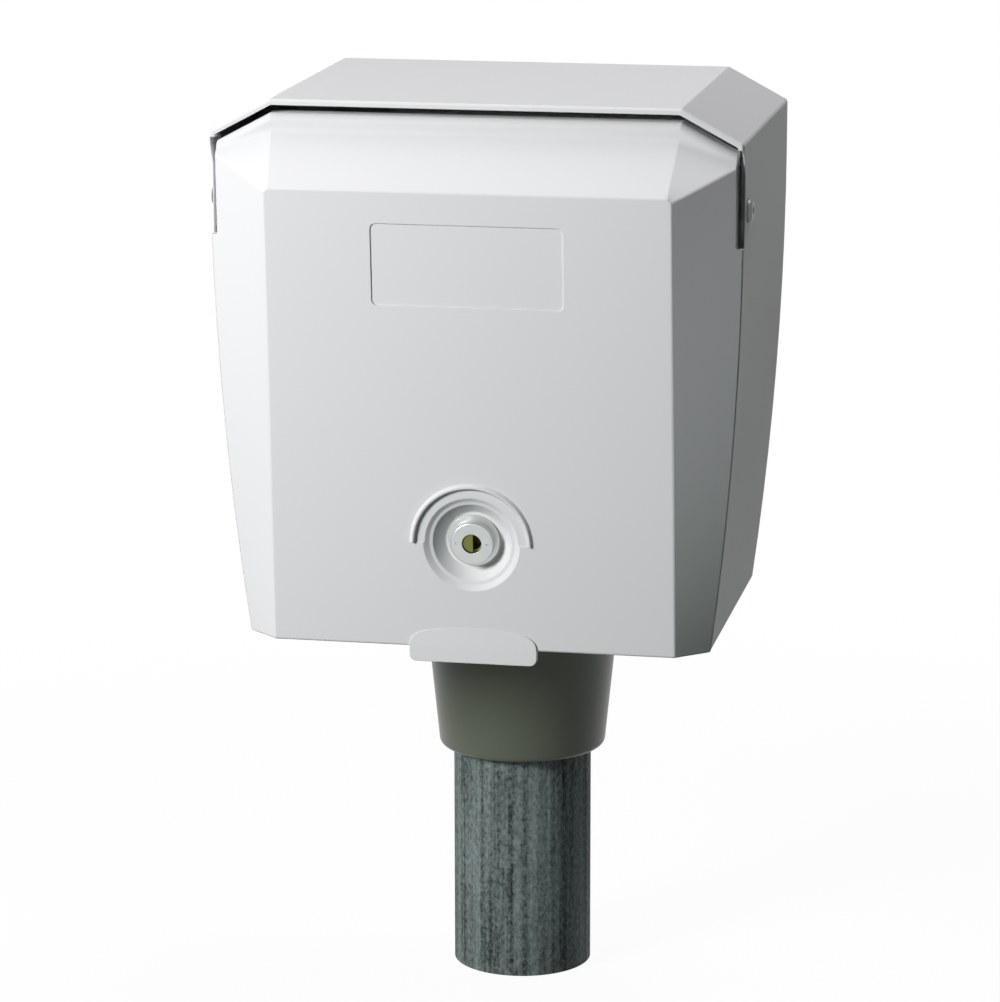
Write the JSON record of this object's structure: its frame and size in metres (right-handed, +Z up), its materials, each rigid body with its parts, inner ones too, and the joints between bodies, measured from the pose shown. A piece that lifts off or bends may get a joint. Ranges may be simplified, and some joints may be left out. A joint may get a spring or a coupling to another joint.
{
  "type": "outdoor electrical enclosure on a post",
  "caption": "Post-mounted outdoor power enclosure with a hooded housing, a lockable swing-up cover, a tapered post collar, breakers and lidded sockets inside.",
  "frame": {"origin": "centre of the post's free lower end", "axes": "+Z up along the post, -Y out of the cover, +X to the right seen from the front"},
  "size_m": [0.2238, 0.1558, 0.3952],
  "materials": {
    "enclosure_grey": "fine satin moulding",
    "galvanised_steel": "dull zinc with faint mottling",
    "bright_steel": "zinc plated",
    "lock_metal": "satin nickel",
    "brass": "plain brass",
    "bush_nylon": "dry-running nylon",
    "fascia_grey": "satin moulding",
    "breaker_white": "satin moulding",
    "lever_black": "satin moulding",
    "button_yellow": "glossy moulding",
    "terminal_beige": "satin moulding",
    "socket_blue": "satin moulding"
  },
  "bodies": {
    "housing": {"rear_housing": "enclosure_grey", "pole_collar": "enclosure_grey", "post_tube": "galvanised_steel", "mounting_plate": "galvanised_steel", "top_hat_rail": "galvanised_steel", "clamp_saddle": "galvanised_steel", "striker_plate": "galvanised_steel", "plate_screws": "bright_steel", "rail_screws": "bright_steel", "earth_bar_screw": "bright_steel", "fascia_screws": "bright_steel", "collar_screws": "bright_steel", "striker_screws": "bright_steel", "hinge_screw_left": "bright_steel", "hinge_screw_right": "bright_steel", "clamp_bolt_left": "bright_steel", "clamp_bolt_right": "bright_steel", "lid_pin_left": "bright_steel", "lid_pin_right": "bright_steel", "earth_bar": "brass", "terminal_screws": "brass", "socket_contacts_left": "brass", "socket_contacts_right": "brass", "hinge_bush_left": "bush_nylon", "hinge_bush_right": "bush_nylon", "inner_fascia": "fascia_grey", "breaker_left": "breaker_white", "breaker_right": "breaker_white", "terminal_block": "terminal_beige", "socket_left": "socket_blue", "socket_right": "socket_blue"},
    "cover": {"front_cover": "enclosure_grey", "lock_housing": "lock_metal", "lock_nut": "lock_metal"},
    "lock": {"lock_plug": "brass", "lock_cam": "lock_metal", "cam_screw": "bright_steel"},
    "lever_left": {"breaker_lever_left": "lever_black"},
    "lever_right": {"breaker_lever_right": "lever_black"},
    "button_left": {"test_button_left": "button_yellow"},
    "button_right": {"test_button_right": "button_yellow"},
    "lid_left": {"socket_lid_left": "socket_blue"},
    "lid_right": {"socket_lid_right": "socket_blue"}
  },
  "joints": [
    {"name": "cover_hinge", "type": "hinge", "parent": "housing", "child": "cover", "pos_m": [0, -0.092, 0.353], "axis": [-1, 0, 0], "range_deg": [0, 90]},
    {"name": "lock_turn", "type": "hinge", "parent": "cover", "child": "lock", "pos_m": [0, -0.11245, 0.2148], "axis": [0, 0.9974, 0.0717], "range_deg": [0, 90]},
    {"name": "lid_left_hinge", "type": "hinge", "parent": "housing", "child": "lid_left", "pos_m": [-0.048, -0.0496, 0.2886], "axis": [-1, 0, 0], "range_deg": [0, 95], "stiffness_Nm_per_rad": 0.01, "springref_deg": -20.05},
    {"name": "lever_left_tip", "type": "hinge", "parent": "housing", "child": "lever_left", "pos_m": [-0.0185, -0.04355, 0.331], "axis": [-1, 0, 0], "range_deg": [0, 76]},
    {"name": "button_left_press", "type": "slide", "parent": "housing", "child": "button_left", "axis": [0, 1, 0], "range_m": [0, 0.0015], "stiffness_N_per_m": 150, "springref_m": -0.0006},
    {"name": "lid_right_hinge", "type": "hinge", "parent": "housing", "child": "lid_right", "pos_m": [0.048, -0.0496, 0.2886], "axis": [-1, 0, 0], "range_deg": [0, 95], "stiffness_Nm_per_rad": 0.01, "springref_deg": -20.05},
    {"name": "lever_right_tip", "type": "hinge", "parent": "housing", "child": "lever_right", "pos_m": [0.0185, -0.04355, 0.331], "axis": [-1, 0, 0], "range_deg": [0, 76]},
    {"name": "button_right_press", "type": "slide", "parent": "housing", "child": "button_right", "axis": [0, 1, 0], "range_m": [0, 0.0015], "stiffness_N_per_m": 150, "springref_m": -0.0006}
  ]
}
